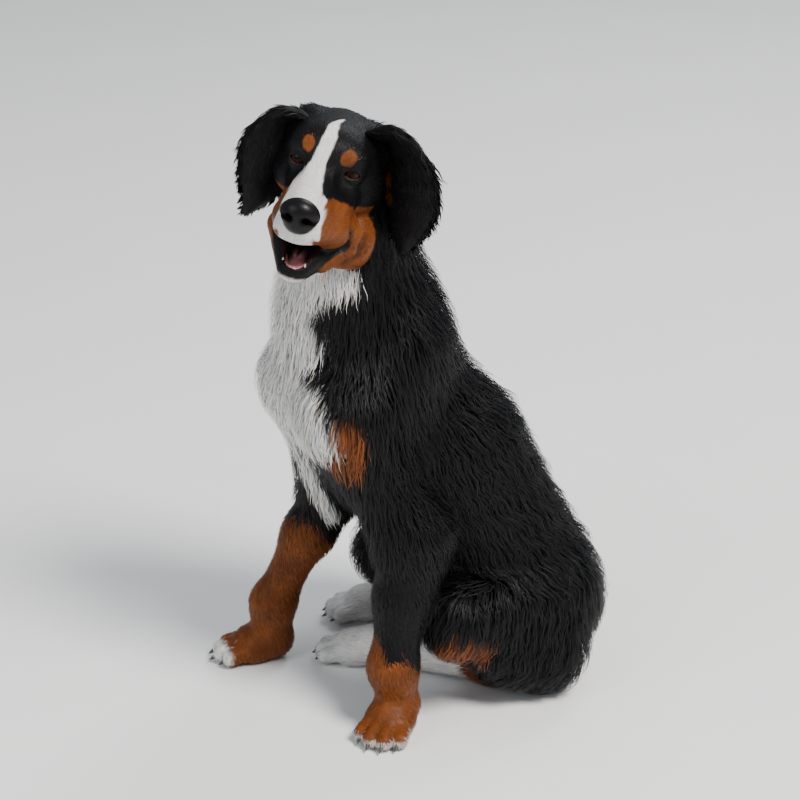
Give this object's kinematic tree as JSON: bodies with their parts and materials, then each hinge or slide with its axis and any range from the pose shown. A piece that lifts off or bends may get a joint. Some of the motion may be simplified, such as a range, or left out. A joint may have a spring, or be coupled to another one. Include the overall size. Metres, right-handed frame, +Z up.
{
  "type": "bernese mountain dog",
  "caption": "Sitting tricolour long-haired dog, head turned to its left, mouth slightly open; a still life-size model.",
  "frame": {"origin": "on the floor, under the middle of the bounding box", "axes": "+Z up, the dog's body faces -Y, +X is the dog's left"},
  "size_m": [0.4608, 0.5472, 0.8393],
  "materials": {
    "black_coat": "glossy long hair",
    "rust_coat": "soft short hair",
    "white_coat": "soft hair",
    "nose_leather": "moist, pebbled",
    "eye": "wet",
    "tongue": "moist",
    "tooth": "enamel",
    "claw": "horn"
  },
  "bodies": {
    "root": {"eye_left": "eye", "eye_right": "eye", "nose": "nose_leather", "head": "black_coat", "tongue": "tongue", "lower_jaw": "black_coat", "ear_left": "black_coat", "ear_right": "black_coat", "neck": "black_coat", "torso": "black_coat", "rump": "black_coat", "foreleg_left": "black_coat", "foreleg_right": "rust_coat", "forepaw_left": "rust_coat", "forepaw_right": "rust_coat", "thigh_left": "black_coat", "thigh_right": "black_coat", "shank_left": "rust_coat", "shank_right": "rust_coat", "hind_foot_left": "white_coat", "hind_foot_right": "white_coat", "tail": "black_coat"}
  },
  "joints": []
}
